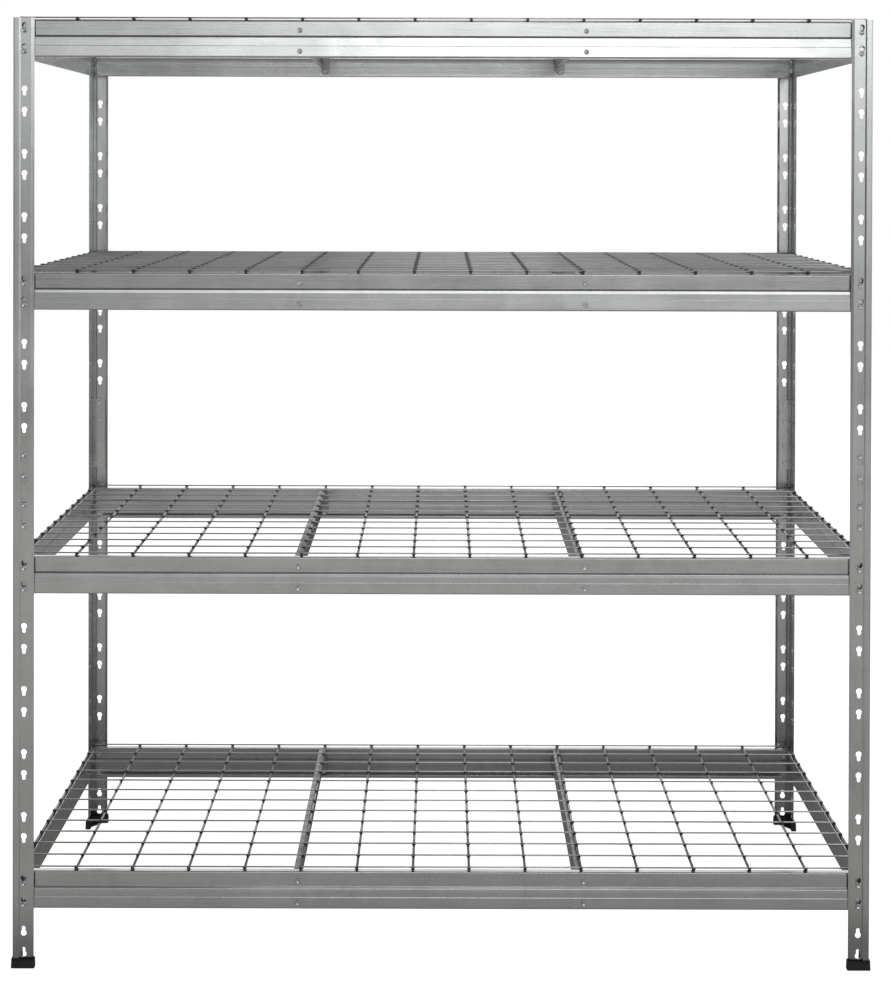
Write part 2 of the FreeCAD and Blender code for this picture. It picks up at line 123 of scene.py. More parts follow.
def set_ramp(ramp_node, stops):
    """Give a Color Ramp grey stops from (position, value) pairs."""
    ramp = ramp_node.color_ramp
    while len(ramp.elements) > 1:
        ramp.elements.remove(ramp.elements[-1])
    for number, (position, value) in enumerate(stops):
        element = ramp.elements[0] if number == 0 else ramp.elements.new(position)
        element.position = position
        element.color = (value, value, value, 1)


# %% Backdrop
def ramp(tree, source, stops, x=0, y=0, low=-1.0, high=1.0):
    """Turn a value between low and high into a grey by (value, grey) stops."""
    spread = node(tree, "ShaderNodeMapRange", x, y, From_Min=low, From_Max=high)
    link(tree, source, spread.inputs["Value"])
    greys = node(tree, "ShaderNodeValToRGB", x + 200, y)
    set_ramp(greys, [((value - low) / (high - low), grey) for value, grey in stops])
    link(tree, spread.outputs[0], greys.inputs[0])
    return greys.outputs[0]


def mix(tree, factor, first, second, x=0, y=0, blend="MIX"):
    """Mix two colours by a factor, which may be a socket or a number."""
    mixer = node(tree, "ShaderNodeMix", x, y, data_type="RGBA", blend_type=blend)
    for value, place in ((factor, 0), (first, 6), (second, 7)):
        if isinstance(value, bpy.types.NodeSocket):
            link(tree, value, mixer.inputs[place])
        else:
            mixer.inputs[place].default_value = value
    return mixer.outputs[2]


# Grey seen in each direction, by the direction's height: -1 is straight down and 1 straight up.
FRONT_GREYS = [(-1.0, 0.10), (-0.46, 0.20), (-0.30, 0.36), (-0.17, 0.38), (-0.12, 0.34), (-0.06, 0.50),
               (0.02, 0.76), (0.07, 0.84), (0.12, 1.8), (0.24, 1.8), (0.36, 0.55), (0.55, 0.22), (1.0, 0.15)]
BACK_GREYS = [(-1.0, 0.20), (-0.30, 0.28), (-0.16, 0.60), (-0.05, 1.0), (0.50, 1.10), (0.72, 0.70),
              (0.90, 0.15), (1.0, 0.15)]
# How much of that grey is left towards each side: -1 is left and 1 is right.
FRONT_SHADES = [(-1.0, 0.12), (-0.6, 0.22), (-0.42, 0.45), (-0.27, 0.60), (-0.15, 0.74), (-0.04, 1.0),
                (0.05, 0.98), (0.13, 0.80), (0.20, 1.2), (0.30, 1.2), (0.38, 0.70), (0.50, 0.40),
                (0.70, 0.50), (0.88, 1.3), (1.0, 1.6)]
BACK_SHADES = [(-1.0, 0.25), (-0.6, 0.60), (-0.35, 1.0), (0.35, 1.0), (0.6, 0.60), (1.0, 0.25)]

world = bpy.data.worlds.new("studio")
world.use_nodes = True
scene.world = world
sky = world.node_tree
sky.nodes.clear()
direction = node(sky, "ShaderNodeTexCoord", -1100, 0)
axes = node(sky, "ShaderNodeSeparateXYZ", -900, 0)
link(sky, direction.outputs["Generated"], axes.inputs[0])
front = ramp(sky, axes.outputs["Z"], FRONT_GREYS, -700, 300)
back = ramp(sky, axes.outputs["Z"], BACK_GREYS, -700, 0)
behind = node(sky, "ShaderNodeMapRange", -500, -300, From_Min=-0.5, From_Max=0.5)
link(sky, axes.outputs["Y"], behind.inputs["Value"])
front_shade = ramp(sky, axes.outputs["X"], FRONT_SHADES, -700, -500)
back_shade = ramp(sky, axes.outputs["X"], BACK_SHADES, -700, -800)
around = mix(sky, behind.outputs[0], front, back, -100, 100)
shade = mix(sky, behind.outputs[0], front_shade, back_shade, -100, -500)
shaded = mix(sky, 1.0, around, shade, 100, 0, blend="MULTIPLY")
studio = node(sky, "ShaderNodeBackground", 300, 100, Strength=1.0)
link(sky, shaded, studio.inputs["Color"])
white = node(sky, "ShaderNodeBackground", 300, -100, Color=(1, 1, 1, 1), Strength=1.0)
rays = node(sky, "ShaderNodeLightPath", 300, 400)
pick = node(sky, "ShaderNodeMixShader", 500, 0)
link(sky, rays.outputs["Is Camera Ray"], pick.inputs[0])
link(sky, studio.outputs[0], pick.inputs[1])
link(sky, white.outputs[0], pick.inputs[2])
world_out = node(sky, "ShaderNodeOutputWorld", 700, 0)
link(sky, pick.outputs[0], world_out.inputs[0])
print("backdrop has", len(FRONT_GREYS), "greys in front and", len(BACK_GREYS), "behind")


# %% Floor and lights
def make_object(name, mesh_maker, *materials):
    """Build a mesh with a bmesh function and link it as an object at the origin."""
    bm = bmesh.new()
    mesh_maker(bm)
    mesh = bpy.data.meshes.new(name)
    bm.to_mesh(mesh)
    bm.free()
    made = bpy.data.objects.new(name, mesh)
    scene.collection.objects.link(made)
    for material in materials:
        mesh.materials.append(material)
    return made


# Grey that the floor shows in reflections, by its distance in front of (-) or behind the middle, in metres.
FLOOR_GREYS = [(-9.0, 0.34), (-7.0, 0.27), (-5.0, 0.40), (-3.6, 0.50), (-2.4, 0.44), (-1.4, 0.34),
               (-0.9, 0.35), (-0.6, 0.34), (-0.4, 0.15), (1.0, 0.12), (4.0, 0.40), (9.0, 0.80)]
FLOOR_HALF = 9.0


def floor_material():
    """Pale and even to the eye, and a mid grey studio floor to reflections."""
    material = bpy.data.materials.new("studio_floor")
    material.use_nodes = True
    tree = material.node_tree
    tree.nodes.clear()
    paint = node(tree, "ShaderNodeBsdfDiffuse", 0, 100, Color=(0.86, 0.86, 0.86, 1))
    glow = node(tree, "ShaderNodeEmission", 0, -50, Strength=0.85)
    pale = node(tree, "ShaderNodeAddShader", 200, 50)
    place = node(tree, "ShaderNodeTexCoord", -900, -250)
    parts = node(tree, "ShaderNodeSeparateXYZ", -700, -250)
    link(tree, place.outputs["Object"], parts.inputs[0])
    greys = ramp(tree, parts.outputs["Y"], FLOOR_GREYS, -500, -250, low=-FLOOR_HALF, high=FLOOR_HALF)
    warm = mix(tree, 1.0, greys, (1.0, 0.975, 0.94, 1), -50, -250, blend="MULTIPLY")
    dull = node(tree, "ShaderNodeEmission", 150, -250, Strength=1.0)
    link(tree, warm, dull.inputs["Color"])
    ray = node(tree, "ShaderNodeLightPath", 0, 350)
    pick_floor = node(tree, "ShaderNodeMixShader", 400, 0)
    out = node(tree, "ShaderNodeOutputMaterial", 600, 0)
    link(tree, paint.outputs[0], pale.inputs[0])
    link(tree, glow.outputs[0], pale.inputs[1])
    link(tree, ray.outputs["Is Glossy Ray"], pick_floor.inputs[0])
    link(tree, pale.outputs[0], pick_floor.inputs[1])
    link(tree, dull.outputs[0], pick_floor.inputs[2])
    link(tree, pick_floor.outputs[0], out.inputs[0])
    return material


def floor_shape(bm):
    bmesh.ops.create_grid(bm, x_segments=1, y_segments=1, size=FLOOR_HALF)


floor = make_object("studio_floor", floor_shape, floor_material())
floor.location.z = cad_low.z


def soft_box(name, place, target, width, height, power):
    light = bpy.data.lights.new(name, "AREA")
    light.shape = "RECTANGLE"
    light.size = width
    light.size_y = height
    light.energy = power
    lamp = bpy.data.objects.new(name, light)
    lamp.location = place
    lamp.rotation_euler = (Vector(target) - Vector(place)).to_track_quat("-Z", "Y").to_euler()
    scene.collection.objects.link(lamp)
    return lamp


soft_box("key_box", (0.45, -4.4, 2.72), (0.2, 0, 1.6), 2.6, 0.9, 14)
print("floor and lights are in place")


# %% [markdown]
# ## Effects that several finishes share
# Each effect is a shader node group: a small recipe with named inputs and outputs that is built once and then
# used in several materials. The first draws the fine lines that rolling leaves in sheet metal and wire. The
# second is the cloudy bloom of zinc. The third finds corners and joints and darkens them with painted shade and
# dirt.

# %% Rolling grain, zinc bloom and crease shade and dirt
def new_group(name, inputs, outputs):
    """Start a node group and return its tree with its input and output nodes."""
    tree = bpy.data.node_groups.new(name, "ShaderNodeTree")
    for socket, kind, value in inputs:
        made = tree.interface.new_socket(name=socket, in_out="INPUT", socket_type=kind)
        made.default_value = value
    for socket in outputs:
        tree.interface.new_socket(name=socket, in_out="OUTPUT", socket_type="NodeSocketFloat")
    return tree, node(tree, "NodeGroupInput", -900, 0), node(tree, "NodeGroupOutput", 900, 0)


def math_node(tree, operation, first, second=0.0, x=0, y=0, third=0.0):
    """A Math node whose inputs may be sockets or numbers."""
    made = node(tree, "ShaderNodeMath", x, y, operation=operation)
    for place, value in enumerate((first, second, third)):
        if isinstance(value, bpy.types.NodeSocket):
            link(tree, value, made.inputs[place])
        else:
            made.inputs[place].default_value = value
    return made.outputs[0]


def stretched(tree, place, scale, x=0, y=0):
    """Place multiplied by a scale for each axis."""
    made = node(tree, "ShaderNodeVectorMath", x, y, operation="MULTIPLY")
    link(tree, place, made.inputs[0])
    if isinstance(scale, bpy.types.NodeSocket):
        link(tree, scale, made.inputs[1])
    else:
        made.inputs[1].default_value = scale
    return made.outputs[0]


def noise(tree, place, scale, detail, x=0, y=0, roughness=0.5, distortion=0.0):
    made = node(tree, "ShaderNodeTexNoise", x, y, Scale=scale, Detail=detail, Roughness=roughness,
                Distortion=distortion)
    link(tree, place, made.inputs["Vector"])
    return made.outputs["Fac"]


def rescale(tree, value, low, high, new_low, new_high, x=0, y=0):
    made = node(tree, "ShaderNodeMapRange", x, y, From_Min=low, From_Max=high,
                To_Min=new_low, To_Max=new_high)
    link(tree, value, made.inputs["Value"])
    return made.outputs[0]


def rolling_grain_group():
    """Lines along the direction with the small Stretch value. Lines is 0 to 1, Height is for bump."""
    tree, given, result = new_group(
        "rolling_grain",
        [("Place", "NodeSocketVector", (0, 0, 0)), ("Stretch", "NodeSocketVector", (100, 100, 3))],
        ["Lines", "Height"],
    )
    long_place = stretched(tree, given.outputs["Place"], given.outputs["Stretch"], -600, 0)
    fine = noise(tree, long_place, 4.0, 4, -400, 200, roughness=0.65)
    broad = noise(tree, long_place, 0.7, 2, -400, -100)
    both = math_node(tree, "MULTIPLY_ADD", fine, 0.55, -150, 100, third=0.0)
    lines = math_node(tree, "MULTIPLY_ADD", broad, 0.45, 50, 50)
    link(tree, both, lines.node.inputs[2])
    link(tree, rescale(tree, lines, 0.32, 0.68, 0, 1, 300, 100), result.inputs["Lines"])
    link(tree, fine, result.inputs["Height"])
    return tree


def zinc_bloom_group():
    """Cloudy patches and small crystals. Bloom is 0 to 1, and Dull is where the zinc has gone matt."""
    tree, given, result = new_group(
        "zinc_bloom",
        [("Place", "NodeSocketVector", (0, 0, 0)), ("Cloud Scale", "NodeSocketFloat", 14.0)],
        ["Bloom", "Dull"],
    )
    cloud = node(tree, "ShaderNodeTexNoise", -600, 200, Detail=5.0, Roughness=0.6, Distortion=0.6)
    link(tree, given.outputs["Place"], cloud.inputs["Vector"])
    link(tree, given.outputs["Cloud Scale"], cloud.inputs["Scale"])
    crystal = node(tree, "ShaderNodeTexVoronoi", -600, -100, Scale=320.0)
    link(tree, given.outputs["Place"], crystal.inputs["Vector"])
    facets = node(tree, "ShaderNodeSeparateXYZ", -400, -100)
    link(tree, crystal.outputs["Color"], facets.inputs[0])
    clouds = rescale(tree, cloud.outputs["Fac"], 0.35, 0.65, 0, 1, -300, 200)
    mixed = math_node(tree, "MULTIPLY_ADD", facets.outputs[0], 0.25, -100, 0)
    soft = math_node(tree, "MULTIPLY", clouds, 0.75, -100, 200)
    link(tree, soft, mixed.node.inputs[2])
    link(tree, mixed, result.inputs["Bloom"])
    patches = noise(tree, given.outputs["Place"], 5.0, 3, -600, -400, distortion=0.4)
    link(tree, rescale(tree, patches, 0.5, 0.68, 0, 1, -300, -400), result.inputs["Dull"])
    return tree


def crease_shade_and_dirt_group():
    """The mask is 1 deep in a corner or joint and 0 on an open face: painted shade, made patchy like dirt."""
    tree, given, result = new_group(
        "crease_shade_and_dirt",
        [("Place", "NodeSocketVector", (0, 0, 0)), ("Reach", "NodeSocketFloat", 0.01)],
        ["Dirt"],
    )
    corner = node(tree, "ShaderNodeAmbientOcclusion", -500, 0, samples=6)
    link(tree, given.outputs["Reach"], corner.inputs["Distance"])
    depth = rescale(tree, corner.outputs["AO"], 0.35, 0.85, 1, 0, -250, 0)
    patchy = noise(tree, given.outputs["Place"], 90.0, 3, -500, -250)
    uneven = rescale(tree, patchy, 0.3, 0.7, 0.7, 1, -250, -250)
    link(tree, math_node(tree, "MULTIPLY", depth, uneven, 0, 0), result.inputs["Dirt"])
    return tree


rolling_grain = rolling_grain_group()
zinc_bloom = zinc_bloom_group()
crease_shade_and_dirt = crease_shade_and_dirt_group()
print("shared effects:", [group.name for group in bpy.data.node_groups])

# %% [markdown]
# ## Galvanised sheet
# Posts, beams, bars and splices are the same zinc-coated sheet, but the strip was rolled along each of them,
# so the grain runs upright on posts and splices, along X on the long beams and along Y on the short beams and
# cross bars. Metal gets its grey from Base Color and its softness from Roughness.

# %% Galvanised sheet
def use_group(tree, group, x=0, y=0, **values):
    made = node(tree, "ShaderNodeGroup", x, y, node_tree=group)
    for name, value in values.items():
        socket = made.inputs[name.replace("_", " ")]
        if isinstance(value, bpy.types.NodeSocket):
            link(tree, value, socket)
        else:
            socket.default_value = value
    return made


def new_material(name, **principled_values):
    """A material with its Principled node, Object coordinates and output."""
    material = bpy.data.materials.new(name)
    material.use_nodes = True
    tree = material.node_tree
    tree.nodes.clear()
    place = node(tree, "ShaderNodeTexCoord", -1500, 0).outputs["Object"]
    surface = node(tree, "ShaderNodeBsdfPrincipled", 700, 0, **principled_values)
    out = node(tree, "ShaderNodeOutputMaterial", 1000, 0)
    link(tree, surface.outputs[0], out.inputs[0])
    return material, tree, place, surface


def colour_ramp(tree, value, stops, x=0, y=0):
    """Turn a value into a colour by (position, (r, g, b)) stops."""
    made = node(tree, "ShaderNodeValToRGB", x, y)
    set_ramp(made, [(position, 0) for position, _ in stops])
    for element, (_, colour) in zip(made.color_ramp.elements, stops):
        element.color = (*colour, 1)
    link(tree, value, made.inputs[0])
    return made.outputs[0]


def add_bump(tree, surface, height, strength, distance, x=400, y=-300):
    bump = node(tree, "ShaderNodeBump", x, y, Strength=strength, Distance=distance)
    link(tree, height, bump.inputs["Height"])
    link(tree, bump.outputs["Normal"], surface.inputs["Normal"])
    return bump


STEEL_TONES = [(0.0, (0.10, 0.10, 0.105)), (0.35, (0.42, 0.43, 0.43)), (0.6, (0.60, 0.61, 0.615)),
               (1.0, (0.78, 0.79, 0.80))]


def galvanised(name, stretch, brightness=0.6, roughness=0.20, crease_shade_reach=0.006):
    """Rolled and zinc-coated sheet with its grain along the axis that has the small stretch."""
    material, tree, place, surface = new_material(name, Metallic=1.0)
    grain = use_group(tree, rolling_grain, -1200, 200, Place=place, Stretch=stretch)
    bloom = use_group(tree, zinc_bloom, -1200, 0, Place=place)
    creases = use_group(tree, crease_shade_and_dirt, -1200, -200, Place=place, Reach=crease_shade_reach)
    lines = rescale(tree, grain.outputs["Lines"], 0, 1, -0.06, 0.06, -900, 200)
    clouds = rescale(tree, bloom.outputs["Bloom"], 0, 1, -0.07, 0.07, -900, 0)
    tone = math_node(tree, "ADD", lines, clouds, -650, 100)
    tone = math_node(tree, "ADD", tone, brightness, -450, 100)
    # painted shade: the crease mask darkens the zinc in corners and joints
    shadow = math_node(tree, "MULTIPLY", creases.outputs["Dirt"], 0.40, -650, -200)
    tone = math_node(tree, "SUBTRACT", tone, shadow, -250, 50)
    link(tree, colour_ramp(tree, tone, STEEL_TONES, -50, 100), surface.inputs["Base Color"])
    matt = math_node(tree, "MULTIPLY_ADD", bloom.outputs["Dull"], 0.10, -650, -400, third=roughness)
    finish = math_node(tree, "MULTIPLY_ADD", grain.outputs["Lines"], 0.06, -450, -400)
    link(tree, matt, finish.node.inputs[2])
    link(tree, finish, surface.inputs["Roughness"])
    add_bump(tree, surface, grain.outputs["Height"], 0.14, 0.0004)
    return material


ACROSS = 130.0                # grain lines per metre across the rolling direction
ALONG = 2.2
upright_sheet = galvanised("galvanised_upright", (ACROSS, ACROSS, ALONG))
wide_sheet = galvanised("galvanised_wide", (ALONG, ACROSS, ACROSS))
deep_sheet = galvanised("galvanised_deep", (ACROSS, ALONG, ACROSS))
# the cross bars' copy of the sheet is darker: painted shade for the deck wires just above them
shaded_bar_sheet = galvanised("galvanised_bar_shaded", (ACROSS, ALONG, ACROSS), brightness=0.30, roughness=0.40)

sheet_finishes = {
    "post_": upright_sheet,
    "splice_": upright_sheet,
    "beam_front": wide_sheet,
    "beam_back": wide_sheet,
    "beam_left": deep_sheet,
    "beam_right": deep_sheet,
    "cross_bar_left": shaded_bar_sheet,
    "cross_bar_right": shaded_bar_sheet,
}
finished = 0
for name, piece in nodes.items():
    for start, material in sheet_finishes.items():
        if name.startswith(start) and "studs" not in name:
            piece.data.materials[0] = material
            finished += 1
print(finished, "sheet metal pieces have their zinc")

# %% [markdown]
# ## Wire decks
# A deck is thirteen long wires laid over sixteen cross wires and welded at every crossing. Each wire is a
# cylinder with softened ends. A weld squeezes a little metal out between the wires and scorches the zinc, so
# every crossing gets a small dark nugget, which also stands in as the long wire's painted shadow, and the cross
# wires' own finish darkens again and again along their length, at the pitch of the long wires, as weld scorch
# and painted contact shadow.

# %% Wire finishes
CROSS_PITCH = 0.1071          # between cross wires, along X
LONG_PITCH = 0.0496           # between long wires, along Y


def near_lines(tree, value, pitch, offset, x=0, y=0):
    """Distance from a value to the nearest multiple of pitch, in metres."""
    shifted = math_node(tree, "ADD", value, offset + pitch / 2, x, y)
    wrapped = math_node(tree, "WRAP", shifted, pitch, x + 180, y)
    centred = math_node(tree, "SUBTRACT", wrapped, pitch / 2, x + 360, y)
    return math_node(tree, "ABSOLUTE", centred, 0, x + 540, y)


def wire_material(name, axis, pitch, offset, brightness, scorch_and_shadow_depth, reach, stretch):
    """Drawn wire darkened where the other wires cross it: weld scorch and a painted contact shadow."""
    material, tree, place, surface = new_material(name, Metallic=1.0)
    grain = use_group(tree, rolling_grain, -1200, 300, Place=place, Stretch=stretch)
    bloom = use_group(tree, zinc_bloom, -1200, 100, Place=place, Cloud_Scale=22.0)
    parts = node(tree, "ShaderNodeSeparateXYZ", -1300, -200)
    link(tree, place, parts.inputs[0])
    distance = near_lines(tree, parts.outputs[axis], pitch, offset, -1100, -200)
    rough = noise(tree, place, 260.0, 3, -700, -400)
    ragged = math_node(tree, "MULTIPLY_ADD", rough, 0.006, -500, -400, third=-0.003)
    distance = math_node(tree, "ADD", distance, ragged, -350, -200)
    # weld scorch and painted contact shadow at each crossing
    scorch_and_shadow = rescale(tree, distance, reach * 0.45, reach, 1, 0, -150, -200)
    lines = rescale(tree, grain.outputs["Lines"], 0, 1, -0.12, 0.12, -900, 300)
    clouds = rescale(tree, bloom.outputs["Bloom"], 0, 1, -0.08, 0.08, -900, 100)
    tone = math_node(tree, "ADD", math_node(tree, "ADD", lines, clouds, -650, 200), brightness, -450, 200)
    tone = math_node(tree, "SUBTRACT", tone, math_node(tree, "MULTIPLY", scorch_and_shadow, scorch_and_shadow_depth, 50, -200), 200, 100)
    link(tree, colour_ramp(tree, tone, STEEL_TONES, 400, 100), surface.inputs["Base Color"])
    link(tree, rescale(tree, scorch_and_shadow, 0, 1, 0.30, 0.62, 250, -300), surface.inputs["Roughness"])
    add_bump(tree, surface, grain.outputs["Height"], 0.3, 0.0003)
    return material


# The two wires are the same zinc: the long wires' brighter grey is painted light and the cross wires' darker
# grey is painted shade.
lit_long_wire_zinc = wire_material("zinc_long_wire_lit", "X", CROSS_PITCH, CROSS_PITCH / 2, 0.85, 0.40, 0.006,
                               (6.0, 300.0, 300.0))
shaded_cross_wire_zinc = wire_material("zinc_cross_wire_shaded", "Y", LONG_PITCH, 0.003, 0.27, 0.40, 0.012,
                                (300.0, 6.0, 300.0))


def scorched_weld_and_shadow():
    material, tree, place, surface = new_material("scorched_weld_and_shadow", Metallic=0.0, Roughness=0.6)
    speckle = noise(tree, place, 500.0, 3, -600, 0)
    soot = [(0.3, (0.010, 0.010, 0.011)), (0.7, (0.05, 0.048, 0.046))]
    link(tree, colour_ramp(tree, speckle, soot, -300, 0), surface.inputs["Base Color"])
    add_bump(tree, surface, speckle, 0.5, 0.0004)
    return material


weld_and_shadow_black = scorched_weld_and_shadow()
print("wire finishes:", lit_long_wire_zinc.name, shaded_cross_wire_zinc.name, weld_and_shadow_black.name)

# %% Wires and welds
CROSS_WIRES = 16
LONG_WIRES = 13
CROSS_RADIUS = 2.5 * MM
LONG_RADIUS = 1.5 * MM
CROSS_HALF = 0.3036
LONG_HALF = 0.8056
WELD_SINK = 0.8 * MM          # how far the wires melt into each other
WELD_SIZE = (4.2 * MM, 4.0 * MM, 1.5 * MM)    # half the nugget's length along each axis
# the nugget's place in front of the crossing makes it partly a painted shadow of the long wire
WELD_FRONT = (1.8 * MM, 2.8 * MM)    # the nugget sits this far in front of the crossing
WELD_STRAY = 0.4 * MM         # and this far to either side
WIRE_SIDES = 12
ROUND = 0.35 * MM             # softening of the cut ends
random.seed(4)


def add_wire(bm, centre, radius, half, turn, material_index):
    """A capped cylinder along Z is turned to lie along its axis, and its end rims are softened."""
    place = Matrix.Translation(centre) @ turn
    made = bmesh.ops.create_cone(bm, cap_ends=True, segments=WIRE_SIDES, radius1=radius, radius2=radius,
                                 depth=2 * half, matrix=place)
    faces = {face for vert in made["verts"] for face in vert.link_faces}
    rims = {edge for face in faces if len(face.verts) == WIRE_SIDES for edge in face.edges}
    for face in faces:
        face.material_index = material_index
        face.smooth = len(face.verts) != WIRE_SIDES
    bmesh.ops.bevel(bm, geom=list(rims), offset=ROUND, segments=1, profile=0.5, affect="EDGES", material=-1)


def cross_places():
    return [(number - (CROSS_WIRES - 1) / 2) * CROSS_PITCH for number in range(CROSS_WIRES)]


def long_places():
    return [(number - (LONG_WIRES - 1) / 2) * LONG_PITCH for number in range(LONG_WIRES)]


def wires(bm, base):
    """All wires of one deck, standing on height base."""
    along_x = Matrix.Rotation(math.radians(90), 4, "Y")
    along_y = Matrix.Rotation(math.radians(90), 4, "X")
    long_z = base + 2 * CROSS_RADIUS + LONG_RADIUS - WELD_SINK
    for y in long_places():
        add_wire(bm, (0, y, long_z), LONG_RADIUS, LONG_HALF, along_x, 0)
    for x in cross_places():
        add_wire(bm, (x, 0, base + CROSS_RADIUS), CROSS_RADIUS, CROSS_HALF, along_y, 1)


def welds(bm, base):
    """A squashed ball at each crossing, a little bigger or smaller each time: a weld that is also a painted
    shadow.
    """
    height = base + 2 * CROSS_RADIUS - WELD_SINK / 2
    for x in cross_places():
        for y in long_places():
            size = random.uniform(0.85, 1.15)
            stray = random.uniform(-WELD_STRAY, WELD_STRAY)
            middle = Vector((x + stray, y - random.uniform(*WELD_FRONT), height))
            shape = Matrix.Diagonal((WELD_SIZE[0] * size, WELD_SIZE[1] * size, WELD_SIZE[2], 1))
            place = Matrix.Translation(middle) @ shape
            made = bmesh.ops.create_icosphere(bm, subdivisions=1, radius=1.0, matrix=place)
            for face in {face for vert in made["verts"] for face in vert.link_faces}:
                face.smooth = True


for tier in tiers:
    deck_node = "wire_deck_tier_%d" % tier
    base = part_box(deck_node)[0].z
    deck_wires = make_object("deck_wires_tier_%d" % tier, lambda bm: wires(bm, base),
                             lit_long_wire_zinc, shaded_cross_wire_zinc)
    deck_welds = make_object("deck_welds_tier_%d" % tier, lambda bm: welds(bm, base), weld_and_shadow_black)
    for piece in (deck_wires, deck_welds):
        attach(piece, "deck_%d" % tier)
        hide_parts(deck_node)
    wire_faces, weld_faces = len(deck_wires.data.polygons), len(deck_welds.data.polygons)
    print("tier", tier, "has", wire_faces, "wire faces and", weld_faces, "weld faces")

# %% [markdown]
# ## Studs
# Every stud is turned from one outline. The outline is drawn in a plane and spun round the stud's axis, which
# is how a lathe would make it. The head is dished, which is why it catches a dark crescent at its top and a
# bright one below. The tail was set with a punch and has a small hollow too.

# %% Stud finish
def stud_zinc():
    material, tree, place, surface = new_material("zinc_stud_plating", Metallic=1.0)
    bloom = use_group(tree, zinc_bloom, -900, 100, Place=place, Cloud_Scale=160.0)
    creases = use_group(tree, crease_shade_and_dirt, -900, -150, Place=place, Reach=0.004)
    clouds = rescale(tree, bloom.outputs["Bloom"], 0, 1, 0.52, 0.82, -600, 100)
    # painted shade: the crease mask darkens the stud in its corners and where it meets the sheet
    shadow = math_node(tree, "MULTIPLY", creases.outputs["Dirt"], 0.6, -600, -150)
    tone = math_node(tree, "SUBTRACT", clouds, shadow, -350, 0)
    link(tree, colour_ramp(tree, tone, STEEL_TONES, -100, 0), surface.inputs["Base Color"])
    matt = rescale(tree, bloom.outputs["Dull"], 0, 1, 0.26, 0.42, -350, -300)
    link(tree, matt, surface.inputs["Roughness"])
    return material


stud_plating = stud_zinc()

# %% Stud shapes
HEAD = 5.0 * MM               # radii
SHANK = 3.3 * MM
TAIL = 4.2 * MM
COLLAR = 4.5 * MM
HEAD_THICK = 1.7 * MM
TAIL_THICK = 1.0 * MM
DISH = 1.45 * MM              # depth of the hollow in the head
STUD_SIDES = 16


def stud_outline(head_back, collar, tail_start):
    """(distance in from the post's outer face, radius) points from the head's centre to the tail's."""
    top = head_back - HEAD_THICK
    points = [(top + DISH, 0), (top + DISH * 0.88, 1.2 * MM), (top + DISH * 0.5, 2.5 * MM),
              (top + 0.08 * MM, 3.6 * MM), (top, 4.1 * MM), (top + 0.35 * MM, 4.7 * MM),
              (top + 0.9 * MM, HEAD), (head_back, HEAD), (head_back, SHANK)]
    if collar:
        start, end = collar
        points += [(start, SHANK), (start, COLLAR), (end, COLLAR), (end, SHANK)]
    tail_end = tail_start + TAIL_THICK
    points += [(tail_start, SHANK), (tail_start, TAIL), (tail_end - 0.3 * MM, TAIL), (tail_end, 3.6 * MM),
               (tail_end, 2.4 * MM), (tail_end - 0.7 * MM, 1.6 * MM), (tail_end - 0.7 * MM, 0)]
    return points


def add_stud(bm, outline, place):
    """Spin an outline round the Y axis and move the stud to its place."""
    points = [bm.verts.new((radius, depth, 0)) for depth, radius in outline]
    edges = [bm.edges.new(pair) for pair in zip(points, points[1:])]
    bmesh.ops.spin(bm, geom=points + edges, axis=(0, 1, 0), cent=(0, 0, 0), dvec=(0, 0, 0),
                   angle=math.radians(360), steps=STUD_SIDES, use_merge=True)
    stud = grown(bm, points)
    bmesh.ops.transform(bm, matrix=place, verts=stud)


def grown(bm, seeds):
    """Every vertex joined to the seeds by edges."""
    found = set(seeds)
    edge_of_search = list(seeds)
    while edge_of_search:
        vert = edge_of_search.pop()
        for edge in vert.link_edges:
            other = edge.other_vert(vert)
            if other not in found:
                found.add(other)
                edge_of_search.append(other)
    return list(found)


def studs(bm, places):
    for outline, place in places:
        add_stud(bm, outline, place)
    bmesh.ops.remove_doubles(bm, verts=bm.verts, dist=0.01 * MM)
    bmesh.ops.recalc_face_normals(bm, faces=bm.faces)
    for face in bm.faces:
        face.smooth = True


HALF_WIDTH = 0.814
HALF_DEPTH = 0.314
KEYHOLE_LINE = 0.021          # from the post's corner to its keyholes
BAR_STUDS = 0.272             # from the middle to the studs of each cross bar
HOOK_DROPS = (20.1 * MM, 60.1 * MM)      # below the top of the beam
RIVET_DROPS = (18.0 * MM, 58.0 * MM)
JOINER_HEIGHTS = (30.5 * MM, 70.5 * MM, -24.6 * MM, -64.6 * MM)    # above the joint in the post
# A frame for each corner: X along the face from the corner, Y inwards, Z up.
corner_faces = []
for quarter, corner in enumerate(((-1, -1), (1, -1), (1, 1), (-1, 1))):
    spot = Matrix.Translation((corner[0] * HALF_WIDTH, corner[1] * HALF_DEPTH, 0))
    turn = Matrix.Rotation(math.radians(90 * quarter), 4, "Z")
    swap = Matrix(((0, 1, 0, 0), (1, 0, 0, 0), (0, 0, 1, 0), (0, 0, 0, 1)))
    corner_faces += [spot @ turn, spot @ turn @ swap]


def corner_places(rows):
    """Places on both faces of every corner for (outline, height) rows."""
    return [(outline, face @ Matrix.Translation((KEYHOLE_LINE, 0, height)))
            for face in corner_faces for outline, height in rows]


def bar_places(rows):
    """Places on the front and back beams for (outline, height) rows."""
    turned = Matrix.Rotation(math.radians(180), 4, "Z")
    front = Matrix.Translation((0, -HALF_DEPTH, 0))
    return [(outline, side @ front @ Matrix.Translation((x, 0, height)))
            for side in (Matrix(), turned) for x in (-BAR_STUDS, BAR_STUDS) for outline, height in rows]


UPPER_HOOK = stud_outline(2.1 * MM, (3.6 * MM, 9.73 * MM), 10.93 * MM)
LOWER_HOOK = stud_outline(2.1 * MM, (3.6 * MM, 5.88 * MM), 7.08 * MM)
UPPER_RIVET = stud_outline(9.69 * MM, None, 12.5 * MM)
LOWER_RIVET = stud_outline(5.92 * MM, (7.12 * MM, 11.1 * MM), 12.5 * MM)
JOINER = stud_outline(2.1 * MM, None, 5.2 * MM)

